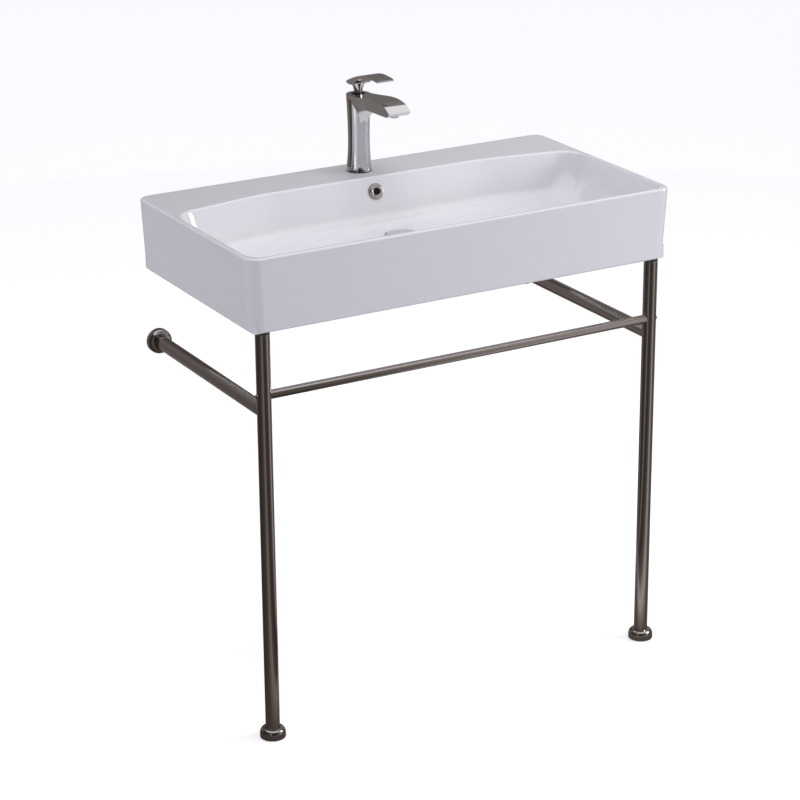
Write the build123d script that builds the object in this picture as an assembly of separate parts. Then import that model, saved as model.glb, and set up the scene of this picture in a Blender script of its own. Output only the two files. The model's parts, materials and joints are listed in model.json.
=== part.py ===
"""Console basin on a two-legged steel frame, with a single-lever tap and a click waste.

Millimetres. +Z up, +Y towards the wall, the origin on the floor at the middle of the whole outline.
"""

from build123d import *
from math import asin, cos, radians, sin, sqrt, tan
import os

os.makedirs("parts", exist_ok=True)

# Basin
basin_width = 850.0
basin_depth = 445.0
basin_height = 132.0
rim_height = 890.0
side_draft = 7.0
front_draft = 3.5
corner_radius = 24.0
edge_radius = 5.0
ground_off = 0.05
rim_wall = 12.0
skirt_wall = 13.0
shell_wall = 11.0
deck_wall = 14.0
deck_depth_middle = 104.0
deck_depth_end = 136.0
deck_sweep_start = 235.0
bowl_depth = 74.0
floor_fall = 8.0
back_draft_angle = 20.0
side_draft_angle = 12.0
front_draft_angle = 8.0
back_cove = 22.0
side_cove = 62.0
front_cove = 22.0
bowl_front_corner = 28.0
bowl_back_corner = 46.0
deck_sweep_radius = 420.0
sweep_follow = 0.35
bowl_steps = 8
shell_steps = 4
dish_half_width = 64.0
dish_half_depth = 44.0
dish_end_share = 0.1
dish_sweep_share = 0.6
pad_height = 26.0
pad_margin = 24.0

# Waste and overflow
waste_setback = 212.0
waste_thread_radius = 20.95
waste_wall = 3.45
waste_flange_width = 10.55
waste_flange_thickness = 2.6
waste_seal_thickness = 1.0
waste_hole_gap = 2.05
waste_recess_gap = 1.5
waste_recess_depth = 3.0
waste_boss_wall = 17.0
waste_boss_length = 34.0
waste_length = 88.0
waste_tail_length = 36.0
runout_width = 3.0
runout_depth = 1.2
waste_slot_width = 12.0
waste_slot_margin = 2.0
lower_seal_height = 5.0
lower_seal_width = 10.0
locknut_height = 9.0
locknut_wall = 11.0
locknut_notches = 8
plug_inset = 3.0
plug_edge_height = 2.6
plug_dome_rise = 1.8
plug_dome_inset = 1.2
plug_skirt_inset = 13.0
spindle_radius = 4.0
spindle_reach = 14.0
guide_drop = 16.0
guide_length = 9.0
guide_wall = 3.0
guide_arm = 2.4
overflow_drop = 26.0
overflow_hole_radius = 11.0
overflow_drilling = 30.0
overflow_start = 3.0
overflow_sleeve_length = 14.0
overflow_ring_width = 4.5
overflow_ring_wall = 4.6
overflow_step_width = 3.4
duct_width = 46.0
duct_passage_width = 28.0
duct_passage_gap = 10.0
duct_wall = 7.0
passage_roof = 4.0

# Wall fixing of the basin
wall_bolt_spacing = 280.0
wall_bolt_drop = 62.0
wall_bolt_radius = 5.2
sleeve_radius = 8.0
sleeve_flange_radius = 14.0
sleeve_flange_thickness = 3.0

# Frame
leg_diameter = 25.4
leg_wall = 1.2
leg_side_inset = 31.0
leg_front_inset = 19.0
crossbar_diameter = 16.0
crossbar_wall = 1.0
crossbar_drop = 115.0
rail_drop = 143.0
cover_width = 10.3
cover_gap = 0.3
cover_shoulder_height = 8.5
cover_crown_width = 2.4
flange_height = 19.0
flange_wall = 1.8
socket_plate_gap = 0.8
socket_plate_thickness = 4.0
socket_spigot_length = 30.0
socket_wall = 2.2
socket_hole_radius = 2.3
socket_hole_offset = 3.9
socket_hole_count = 3
pad_thickness = 3.0
leg_plug_head = 3.0
leg_plug_length = 24.0
leg_stud_grip = 22.0
stud_radius = 4.0
rail_stud_head_radius = 6.0
rail_stud_head_height = 2.5
bush_radius = 7.0
bush_length = 18.0
bar_screw_radius = 2.5
bar_screw_head_radius = 4.75
bar_screw_head_height = 2.75
bar_plug_length = 16.0
rail_plug_length = 22.0
grub_radius = 2.0

# Tap
tap_setback = 52.5
tap_hole_radius = 17.5
cartridge_radius = 13.2
tap_waist_wall = 6.6
tap_head_wall = 9.2
tap_foot_flare = 4.2
tap_waist_height = 58.0
tap_head_height = 144.0
spout_width = 44.0
spout_reach = 152.0
spout_crown = 154.0
spout_lip_height = 140.0
spout_arch_height = 52.0
base_ring_thickness = 1.2
cartridge_floor = 98.0
cartridge_wall = 2.6
pivot_height = 134.0
pivot_pin_radius = 1.5
lever_length = 102.0
lever_width = 34.0
lever_stem_radius = 7.0
lever_tip_height = 189.0
lever_crown_height = 191.0
aerator_radius = 8.0
aerator_setback = 20.0
tap_stud_offset = 10.0
tap_stud_length = 52.0
tap_stud_grip = 18.0
washer_thickness = 3.0
clamp_thickness = 2.5
clamp_radius = 22.0
clamp_nut_flats = 13.0
clamp_notch_width = 26.0
clamp_notch_length = 30.0
clamp_notch_offset = 12.0
inlet_radius = 4.5
inlet_spacing = 15.0

# Fits
running_gap = 0.06
seat_gap = 0.1
slip_gap = 0.25
thread_gap = 0.02

# Sizes and places worked out from those above
waste_hole_radius = waste_thread_radius + waste_hole_gap
waste_bore_radius = waste_thread_radius - waste_wall
waste_flange_radius = waste_thread_radius + waste_flange_width
waste_recess_radius = waste_flange_radius + waste_recess_gap
waste_boss_radius = waste_hole_radius + waste_boss_wall
plug_radius = waste_flange_radius - plug_inset
overflow_ring_radius = overflow_hole_radius + overflow_ring_width
overflow_eye_radius = overflow_hole_radius - overflow_ring_wall
leg_radius = leg_diameter / 2
leg_bore = leg_radius - leg_wall
flange_radius = leg_radius + cover_width
socket_plate_radius = flange_radius - flange_wall - socket_plate_gap
socket_hole_circle = 2 * (leg_radius + socket_hole_offset)
tap_waist_radius = cartridge_radius + tap_waist_wall
tap_head_radius = cartridge_radius + tap_head_wall
tap_base_radius = tap_waist_radius + tap_foot_flare
carrier_radius = cartridge_radius - cartridge_wall
foot_overhang = max(0.0, flange_radius - leg_front_inset)
wall_y = (basin_depth + foot_overhang) / 2
front_y = wall_y - basin_depth
half_width = basin_width / 2
base_z = rim_height - basin_height
leg_x = half_width - leg_side_inset
leg_y = front_y + leg_front_inset
crossbar_z = base_z - crossbar_drop
rail_z = base_z - rail_drop
crossbar_radius = crossbar_diameter / 2
waste_y = wall_y - waste_setback
waste_z = rim_height - bowl_depth - floor_fall
tap_y = wall_y - tap_setback
boss_z = waste_z - waste_boss_length


def post(radius, low, high, x=0.0, y=0.0):
    """Upright cylinder between two heights."""
    return Pos(x, y, (low + high) / 2) * Cylinder(radius, high - low)


def pipe(outer, inner, low, high, x=0.0, y=0.0):
    """Upright tube between two heights."""
    return post(outer, low, high, x, y) - post(inner, low - 1, high + 1, x, y)


def lying(shape, x=0.0, y=0.0, z=0.0):
    """Turns a shape made along +Z so that its +Z runs towards the room, along -Y."""
    return Pos(x, y, z) * Rot(90, 0, 0) * shape


def sideways(shape, x, y, z, towards):
    """Turns a shape made along +Z so that its +Z runs along X, towards +1 or -1."""
    return Pos(x, y, z) * Rot(0, 90 * towards, 0) * shape


def hexagon(across_flats, low, high, x=0.0, y=0.0):
    """Upright hexagonal prism."""
    outline = RegularPolygon(across_flats / 2, 6, major_radius=False)
    return Pos(x, y, low) * extrude(outline, high - low)


def save(shape, name):
    """Writes one node, with a group of like pieces kept as separate solids."""
    if isinstance(shape, (list, tuple)):
        shape = Compound(children=list(shape))
    export_step(shape, "parts/" + name + ".step")


def rounded_plate(width, low_y, high_y, z, radius):
    """Rounded rectangle in plan, centred on X."""
    outline = RectangleRounded(width, high_y - low_y, radius)
    return Pos(0, (low_y + high_y) / 2, z) * outline


def wall_run(depth, full_depth, draft_angle, cove):
    """How far a bowl wall has moved inwards at a depth: a drafted wall that turns into the floor."""
    slope = radians(draft_angle)
    straight = full_depth - cove * (1 - sin(slope))
    if depth <= straight:
        return depth * tan(slope)
    turned = asin(min(1.0, sin(slope) + (depth - straight) / cove))
    return straight * tan(slope) + cove * (cos(slope) - cos(turned))


def bowl_outline(side_x, low_y, back_y, end_drop, sweep_x, z, scale=1.0):
    """Plan of the bowl: straight front and sides, and a back that sweeps forward to both ends."""
    corners = [
        (-side_x, low_y),
        (side_x, low_y),
        (side_x, back_y - end_drop),
        (sweep_x, back_y),
        (-sweep_x, back_y),
        (-side_x, back_y - end_drop),
    ]
    radii = [
        bowl_front_corner * scale,
        bowl_front_corner * scale,
        bowl_back_corner * scale,
        deck_sweep_radius * scale,
        deck_sweep_radius * scale,
        bowl_back_corner * scale,
    ]
    edge = FilletPolyline(*corners, radius=radii, close=True)
    return Pos(0, 0, z) * make_face(edge)


def bowl_section(depth, grow=0.0, drop=0.0):
    """Bowl plan at a depth below the rim, grown outwards and lowered for the outside of the shell."""
    side = wall_run(depth, bowl_depth, side_draft_angle, side_cove) - grow
    back = wall_run(depth, bowl_depth, back_draft_angle, back_cove) - grow
    front = wall_run(depth, bowl_depth, front_draft_angle, front_cove) - grow
    return bowl_outline(
        half_width - rim_wall - side,
        front_y + rim_wall + front,
        wall_y - deck_depth_middle - back,
        deck_depth_end - deck_depth_middle,
        deck_sweep_start - sweep_follow * side,
        rim_height - depth - drop,
    )


def bowl_stations(steps):
    """Depths at which the bowl's plan is drawn, closer together where the walls turn into the floor."""
    straight = bowl_depth - side_cove * (1 - sin(radians(side_draft_angle)))
    stations = [0.0, straight]
    for step in range(1, steps + 1):
        share = sin(radians(90 * step / steps))
        stations.append(straight + (bowl_depth - straight) * share)
    return stations


def bowl_solid(grow, drop, steps):
    """Space inside the bowl, or with growth the outside of its shell, from the rim to the waste."""
    walls = loft([bowl_section(depth, grow, drop) for depth in bowl_stations(steps)], ruled=True)
    lowest = bowl_section(bowl_depth, grow, drop)
    middle = bowl_outline(
        dish_half_width,
        waste_y - dish_half_depth,
        waste_y + dish_half_depth,
        dish_half_depth * dish_end_share,
        dish_half_width * dish_sweep_share,
        waste_z - drop,
        dish_half_width / half_width,
    )
    return walls + loft([lowest, middle], ruled=True)


def basin():
    """Slip-cast ceramic: a drafted box open below, the bowl shell, deck, duct, boss and leg pads."""
    cast_back = wall_y + ground_off
    top = rounded_plate(basin_width, front_y, cast_back, rim_height, corner_radius)
    low_front = front_y + front_draft
    bottom = rounded_plate(basin_width - 2 * side_draft, low_front, cast_back, base_z, corner_radius)
    outer = loft([bottom, top], ruled=True)
    outer = fillet(outer.edges().group_by(Axis.Z)[-1], edge_radius)
    outer = fillet(outer.edges().group_by(Axis.Z)[0], edge_radius)
    outer -= Pos(0, wall_y + 5, (base_z + rim_height) / 2) * Box(2 * basin_width, 10, 2 * basin_height)
    inner_width = basin_width - 2 * side_draft - 2 * skirt_wall
    inner_corner = corner_radius - skirt_wall / 2
    inner_front = low_front + skirt_wall
    floor_plan = rounded_plate(inner_width, inner_front, wall_y - skirt_wall, base_z, inner_corner)
    hollow = extrude(floor_plan, basin_height - deck_wall)
    shell = bowl_solid(shell_wall, shell_wall, shell_steps) & outer
    reach_x = half_width - leg_x + leg_radius + pad_margin
    reach_y = leg_front_inset + leg_radius + pad_margin
    pads = []
    for side in (-1, 1):
        for y in (front_y + reach_y / 2, wall_y - reach_y / 2):
            block = Pos(side * (half_width - reach_x / 2), y, base_z + pad_height / 2)
            pads.append(outer & (block * Box(reach_x, reach_y, pad_height)))
    duct_back = wall_y - deck_depth_middle + duct_passage_gap + 2 * duct_wall
    boss = post(waste_boss_radius, boss_z, waste_z, 0, waste_y)
    duct_side = [
        (waste_y, boss_z),
        (duct_back, boss_z),
        (duct_back, rim_height - deck_wall),
        (duct_back - duct_passage_gap - 3 * duct_wall, rim_height - deck_wall),
        (duct_back - duct_passage_gap - 3 * duct_wall, waste_z),
        (waste_y, waste_z),
    ]
    duct = slab(duct_side, duct_width)
    body = outer - hollow + shell + boss + (duct & outer)
    for pad in pads:
        body += pad
    body -= bowl_solid(0.0, 0.0, bowl_steps)
    body = fillet(mouth_edges(body), edge_radius)
    passage_side = [
        (waste_y, boss_z + duct_wall),
        (duct_back - duct_wall, boss_z + duct_wall),
        (duct_back - duct_wall, rim_height - deck_wall - passage_roof),
        (duct_back - duct_wall - duct_passage_gap, rim_height - deck_wall - passage_roof),
        (duct_back - duct_wall - duct_passage_gap, boss_z + duct_wall + duct_passage_gap),
        (waste_y, boss_z + duct_wall + duct_passage_gap),
    ]
    body -= slab(passage_side, duct_passage_width)
    body -= post(waste_hole_radius, boss_z - 1, rim_height, 0, waste_y)
    body -= post(waste_recess_radius, waste_z - waste_recess_depth, rim_height, 0, waste_y)
    body -= post(tap_hole_radius, base_z, rim_height + 1, 0, tap_y)
    drilling = Cylinder(overflow_hole_radius, overflow_drilling)
    body -= overflow_place() * Pos(0, 0, overflow_start - overflow_drilling / 2) * drilling
    for side in (-1, 1):
        bolt_hole = Cylinder(sleeve_radius + seat_gap, 60)
        body -= lying(bolt_hole, side * wall_bolt_spacing / 2, wall_y, rim_height - wall_bolt_drop)
        body -= post(bush_radius + seat_gap, base_z - 1, base_z + bush_length, side * leg_x, leg_y)
    return body


def mouth_edges(body):
    """Edges of the bowl's mouth, which lie on the deck inside its outer rounding."""
    low_y = front_y + rim_wall - 1
    high_y = wall_y - deck_depth_middle + 1
    found = []
    for edge in body.edges():
        box = edge.bounding_box()
        level = box.min.Z > rim_height - 0.01
        if level and box.min.Y > low_y and box.max.Y < high_y:
            found.append(edge)
    return found


def slab(points, width):
    """Plate with the given outline in the YZ plane, centred on X."""
    face = Plane.YZ * make_face(Polyline(*points, close=True))
    return extrude(face, width / 2, both=True)


def overflow_place():
    """Place on the bowl's back wall where the overflow opens, facing out of the wall."""
    y = wall_y - deck_depth_middle - wall_run(overflow_drop, bowl_depth, back_draft_angle, back_cove)
    return Pos(0, y, rim_height - overflow_drop) * Rot(90 - back_draft_angle, 0, 0)


def overflow_ring():
    """Turned ring with a stepped face and a short sleeve that grips the ceramic hole."""
    step = overflow_ring_radius - overflow_step_width
    profile = Polyline(
        (overflow_eye_radius, -overflow_sleeve_length),
        (overflow_hole_radius - seat_gap, -overflow_sleeve_length),
        (overflow_hole_radius - seat_gap, 0.1),
        (overflow_ring_radius, 0.1),
        (overflow_ring_radius, 1.2),
        (overflow_ring_radius - 0.6, 1.8),
        (step, 1.8),
        (step, 2.8),
        (step - 0.8, 3.6),
        (overflow_eye_radius + 1.6, 3.6),
        (overflow_eye_radius, 1.6),
        close=True,
    )
    return overflow_place() * revolve(Plane.XZ * make_face(profile), Axis.Z)


def waste_parts():
    """Click waste: flanged body with overflow slots and a guide, seals, locknut, and the rising plug."""
    seat = waste_z - waste_recess_depth
    flange_under = seat + waste_seal_thickness
    flange_top = flange_under + waste_flange_thickness
    tail = flange_top - waste_length
    profile = Polyline(
        (waste_bore_radius, tail),
        (waste_thread_radius, tail),
        (waste_thread_radius, tail + waste_tail_length),
        (waste_thread_radius - runout_depth, tail + waste_tail_length),
        (waste_thread_radius - runout_depth, tail + waste_tail_length + runout_width),
        (waste_thread_radius, tail + waste_tail_length + runout_width),
        (waste_thread_radius, flange_under),
        (waste_flange_radius, flange_under),
        (waste_flange_radius, flange_under + 1.0),
        (waste_flange_radius - 1.6, flange_top),
        (waste_bore_radius + 5.0, flange_top),
        (waste_bore_radius, flange_top - 2.2),
        close=True,
    )
    body = revolve(Plane.XZ * make_face(profile), Axis.Z)
    slot_height = duct_passage_gap - 2 * waste_slot_margin
    slot_z = boss_z + duct_wall + duct_passage_gap / 2
    for angle in (0, 90):
        body -= Pos(0, 0, slot_z) * Rot(0, 0, angle) * Box(60, waste_slot_width, slot_height)
    guide_z = slot_z - guide_drop
    hub = post(spindle_radius + guide_wall, guide_z - guide_length, guide_z)
    for angle in (0, 120, 240):
        arm_x = (waste_bore_radius + spindle_radius) / 2 + 1
        arm = Rot(0, 0, angle) * Pos(arm_x, 0, guide_z - guide_length / 2)
        hub += arm * Box(waste_bore_radius - spindle_radius + 2, guide_arm, guide_length)
    hub = hub & post(waste_bore_radius + 0.5, guide_z - guide_length - 1, guide_z + 1)
    hub -= post(spindle_radius + running_gap, guide_z - 20, guide_z + 10)
    body += hub
    place = Pos(0, waste_y, 0)
    dome_edge = flange_top + plug_edge_height
    dome_reach = plug_radius - plug_dome_inset
    dome = [(0, flange_top + 0.3), (plug_radius, flange_top + 0.3), (plug_radius, flange_top + 1.5)]
    for share in (1.0, 0.7, 0.35, 0.0):
        dome.append((dome_reach * share, dome_edge + plug_dome_rise * (1 - share ** 2)))
    plug = revolve(Plane.XZ * make_face(Polyline(*dome, close=True)), Axis.Z)
    plug += post(spindle_radius, guide_z - spindle_reach, flange_top + 0.6)
    plug += post(plug_radius - plug_skirt_inset, flange_top - 1.4, flange_top + 0.6)
    seal_bore = waste_thread_radius + seat_gap
    upper_seal = pipe(waste_flange_radius - 1.5, seal_bore, seat + thread_gap, flange_under - thread_gap)
    nut_top = boss_z - lower_seal_height
    seal_rim = waste_thread_radius + lower_seal_width
    lower_seal = pipe(seal_rim, seal_bore, nut_top + thread_gap, boss_z - thread_gap)
    nut = pipe(waste_thread_radius + locknut_wall, seal_bore, nut_top - locknut_height, nut_top)
    for step in range(locknut_notches):
        angle = 360 / locknut_notches * step
        notch_x = waste_thread_radius + locknut_wall + 1.5
        notch = Rot(0, 0, angle) * Pos(notch_x, 0, nut_top - locknut_height + 3.5)
        nut -= notch * Box(6, 7, 8)
    return {
        "waste_body": place * body,
        "waste_plug": place * plug,
        "waste_upper_seal": place * upper_seal,
        "waste_lower_seal": place * lower_seal,
        "waste_locknut": place * nut,
    }


def wall_sleeves():
    """Nylon sleeves that line the two wall-bolt holes, flanged on the inside of the back skirt."""
    sleeves = []
    for side in (-1, 1):
        sleeve = post(sleeve_radius, 0.5, skirt_wall) + post(
            sleeve_flange_radius, skirt_wall, skirt_wall + sleeve_flange_thickness
        )
        sleeve -= post(wall_bolt_radius, -1, skirt_wall + 10)
        sleeves.append(lying(sleeve, side * wall_bolt_spacing / 2, wall_y, rim_height - wall_bolt_drop))
    return sleeves


def leg(side):
    """Front leg: a polished tube with holes for the crossbar screw, the rail stud and a grub screw."""
    low = socket_plate_thickness
    high = base_z - pad_thickness - leg_plug_head
    tube = pipe(leg_radius, leg_bore, low, high)
    tube -= sideways(Cylinder(bar_screw_radius + seat_gap, 60), 0, 0, crossbar_z, 1)
    tube -= Pos(0, 20, rail_z) * Rot(90, 0, 0) * Cylinder(stud_radius + seat_gap, 40)
    tube -= Pos(0, 20, grub_height()) * Rot(90, 0, 0) * Cylinder(grub_radius + seat_gap, 40)
    return Pos(side * leg_x, leg_y, 0) * tube


def grub_height():
    """Height of a grub screw above the floor or the wall, under the flange cover."""
    return socket_plate_thickness + 7.0


def leg_axis_cut(side, radius):
    """Long upright cylinder on a leg's axis, used to cope what meets the leg."""
    return post(radius, 0, rim_height, side * leg_x, leg_y)


def crossbar():
    """Thin front bar between the legs, both ends coped to the leg tubes."""
    span = 2 * leg_x
    solid = sideways(Cylinder(crossbar_radius, span), 0, leg_y, crossbar_z, 1)
    bore = sideways(Cylinder(crossbar_radius - crossbar_wall, span + 2), 0, leg_y, crossbar_z, 1)
    bar = solid - bore
    for side in (-1, 1):
        bar -= leg_axis_cut(side, leg_radius + seat_gap)
    return max(bar.solids(), key=lambda piece: piece.volume)


def crossbar_plugs():
    """Threaded plugs pressed in the ends of the crossbar."""
    plugs = []
    for side in (-1, 1):
        middle = side * (leg_x - leg_radius - bar_plug_length / 2 + 1.5)
        plug = Cylinder(crossbar_radius - crossbar_wall - thread_gap, bar_plug_length)
        plug = sideways(plug, middle, leg_y, crossbar_z, 1)
        plug -= leg_axis_cut(side, leg_radius + seat_gap)
        plug -= sideways(Cylinder(bar_screw_radius + thread_gap, 80), middle, leg_y, crossbar_z, 1)
        plugs.append(plug)
    return plugs


def crossbar_screws():
    """Button-head screws through the legs into the crossbar plugs."""
    screws = []
    rise = bar_screw_head_height
    head_edge = Polyline(
        (0, 0),
        (bar_screw_head_radius, 0),
        (bar_screw_head_radius, 0.5),
    ) + ThreePointArc(
        (bar_screw_head_radius, 0.5),
        (bar_screw_head_radius * 0.78, rise * 0.72),
        (bar_screw_head_radius * 0.45, rise),
    ) + Polyline((bar_screw_head_radius * 0.45, rise), (0, rise), (0, 0))
    head = revolve(Plane.XZ * make_face(head_edge), Axis.Z)
    head -= Pos(0, 0, rise - 1.5) * extrude(RegularPolygon(1.5, 6, major_radius=False), 2)
    shank_length = leg_diameter + bar_plug_length - 4
    screw = head + post(bar_screw_radius, -shank_length, 0.2)
    for side in (-1, 1):
        screws.append(sideways(screw, side * (leg_x + leg_radius), leg_y, crossbar_z, side))
    return screws


def rail(side):
    """Side rail from the back of a leg to the wall socket, coped at the leg."""
    end = wall_y - socket_plate_thickness
    tube = Pos(0, (leg_y + end) / 2, 0) * Rot(90, 0, 0) * (
        Cylinder(leg_radius, end - leg_y) - Cylinder(leg_bore, end - leg_y + 2)
    )
    tube = Pos(side * leg_x, 0, rail_z) * tube - leg_axis_cut(side, leg_radius + seat_gap)
    grub_y = wall_y - grub_height()
    tube -= post(grub_radius + seat_gap, rail_z - leg_radius - 5, rail_z, side * leg_x, grub_y)
    return max(tube.solids(), key=lambda piece: piece.volume)


def rail_plugs():
    """Threaded plugs pressed in the front ends of the rails."""
    plugs = []
    for side in (-1, 1):
        low = leg_y + leg_radius - 4.0
        plug = Pos(side * leg_x, low + rail_plug_length / 2, rail_z) * Rot(90, 0, 0) * Cylinder(
            leg_bore - thread_gap, rail_plug_length
        )
        plug -= leg_axis_cut(side, leg_radius + seat_gap)
        plug -= Pos(side * leg_x, low, rail_z) * Rot(90, 0, 0) * Cylinder(stud_radius + thread_gap, 80)
        plugs.append(max(plug.solids(), key=lambda piece: piece.volume))
    return plugs


def rail_studs():
    """Studs whose round heads bear on the inside of the legs and that screw into the rail plugs."""
    studs = []
    head_back = sqrt(leg_bore ** 2 - rail_stud_head_radius ** 2) - seat_gap
    reach = leg_radius + rail_plug_length - 6
    for side in (-1, 1):
        stud = post(rail_stud_head_radius, -head_back, -head_back + rail_stud_head_height)
        stud += post(stud_radius, -reach, -head_back + 1)
        studs.append(lying(stud, side * leg_x, leg_y, rail_z))
    return studs


def flange_cover():
    """Spun domed cover that slides along the tube and hides the socket plate, seat side down."""
    inner = leg_radius + cover_gap
    shoulder_low = cover_shoulder_height
    shoulder_high = flange_height - 0.4
    shoulder_width = cover_width - cover_gap - cover_crown_width
    outside = [(flange_radius - 1.0, 0), (flange_radius, 1.2)]
    inside = [(flange_radius - flange_wall, 0)]
    for angle in (0, 25, 50, 75, 90):
        turn_in = shoulder_width * (1 - cos(radians(angle)))
        rise = (shoulder_high - shoulder_low) * sin(radians(angle))
        outside.append((flange_radius - turn_in, shoulder_low + rise))
        if angle in (0, 50, 90):
            inside.append((flange_radius - flange_wall - turn_in, shoulder_low - flange_wall + rise))
    outside.append((inner, flange_height))
    inside.append((inner, flange_height - flange_wall))
    profile = Polyline(*outside, *reversed(inside), close=True)
    return revolve(Plane.XZ * make_face(profile), Axis.Z)


def socket(grub_side):
    """Plate with screw holes and a spigot that fits inside the tube, its grub hole towards +Y or -Y."""
    plate = post(socket_plate_radius, 0, socket_plate_thickness)
    spigot_radius = leg_bore - seat_gap
    plate += post(spigot_radius, 0, socket_plate_thickness + socket_spigot_length)
    plate -= post(spigot_radius - socket_wall, -1, 100)
    for step in range(socket_hole_count):
        angle = radians(90 + 360 * step / socket_hole_count)
        x = socket_hole_circle / 2 * cos(angle)
        y = socket_hole_circle / 2 * sin(angle)
        plate -= post(socket_hole_radius, -1, 20, x, y)
    plate -= Pos(0, 20 * grub_side, grub_height()) * Rot(90, 0, 0) * Cylinder(grub_radius + thread_gap, 40)
    return plate


def grub_screw():
    """Short headless screw through the tube into the spigot wall, its axis along +Z."""
    start = leg_bore - seat_gap - socket_wall
    return post(grub_radius, start, leg_radius - 0.2) - Pos(0, 0, leg_radius - 1.4) * extrude(
        RegularPolygon(1.0, 6, major_radius=False), 2
    )


def socket_grub_screws():
    """The four grub screws, behind each leg and under each rail."""
    screws = []
    for side in (-1, 1):
        screws.append(Pos(side * leg_x, leg_y, grub_height()) * Rot(-90, 0, 0) * grub_screw())
        screws.append(Pos(side * leg_x, wall_y - grub_height(), rail_z) * Rot(180, 0, 0) * grub_screw())
    return screws


def leg_top_parts():
    """Top of each leg: pressed plug, rubber pad, threaded stud and the nylon bush in the basin."""
    top = base_z - pad_thickness
    plugs = []
    pads = []
    studs = []
    bushes = []
    for side in (-1, 1):
        x = side * leg_x
        plug = post(leg_bore - thread_gap, top - leg_plug_length, top, x, leg_y)
        plug += post(leg_radius, top - leg_plug_head, top, x, leg_y)
        plugs.append(plug - post(stud_radius + thread_gap, top - 40, top + 1, x, leg_y))
        pads.append(pipe(leg_radius, stud_radius + slip_gap, top, base_z, x, leg_y))
        studs.append(post(stud_radius, top - leg_stud_grip, base_z + bush_length - 4, x, leg_y))
        bush_low = base_z + 2 * seat_gap
        bushes.append(pipe(bush_radius, stud_radius + thread_gap, bush_low, base_z + bush_length, x, leg_y))
    return {
        "leg_top_plugs": plugs,
        "leg_top_pads": pads,
        "leg_top_studs": studs,
        "basin_bushes": bushes,
    }


def tap_column():
    """Turned column of the tap: flared foot, waist and flared head."""
    outline = [(0, base_ring_thickness)]
    for share in (1.0, 0.7, 0.4, 0.0):
        height = tap_waist_height - (tap_waist_height - base_ring_thickness) * share
        outline.append((tap_waist_radius + (tap_base_radius - tap_waist_radius) * share ** 2, height))
    for share in (0.5, 0.75, 1.0):
        height = tap_waist_height + (tap_head_height - tap_waist_height) * share
        outline.append((tap_waist_radius + (tap_head_radius - tap_waist_radius) * share ** 2, height))
    outline.append((0, tap_head_height))
    return revolve(Plane.XZ * make_face(Polyline(*outline, close=True)), Axis.Z)


def tap_spout():
    """Blade spout: a flat wide arm over an arched underside, dropping to a thin lip."""
    lip = -spout_reach
    top = Line((0, tap_head_height), (-16, tap_head_height + 0.6)) + Spline(
        (-16, tap_head_height + 0.6),
        (lip + 90, spout_crown - 3.5),
        (lip + 52, spout_crown),
        (lip + 24, spout_crown - 2.5),
        (lip + 9, spout_lip_height + 6.0),
        (lip, spout_lip_height),
        tangents=[(-1, 0.04), (-0.75, -0.65)],
    )
    under_tip = (lip + 9, spout_lip_height - 7.4)
    arch_foot = (-18.5, tap_head_height - spout_arch_height)
    under = Polyline((lip, spout_lip_height), (lip + 1.0, spout_lip_height - 2.6), under_tip)
    arch = Spline(
        under_tip,
        (lip + 52, spout_lip_height - 8.8),
        (lip + 90, spout_lip_height - 11.6),
        (-32, tap_head_height - 27.0),
        arch_foot,
        tangents=[(1, -0.1), (0.12, -1)],
    )
    back = Polyline(arch_foot, (0, tap_head_height - spout_arch_height), (0, tap_head_height))
    side = Plane.YZ * make_face(top + under + arch + back)
    return extrude(side, spout_width / 2, both=True)


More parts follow.
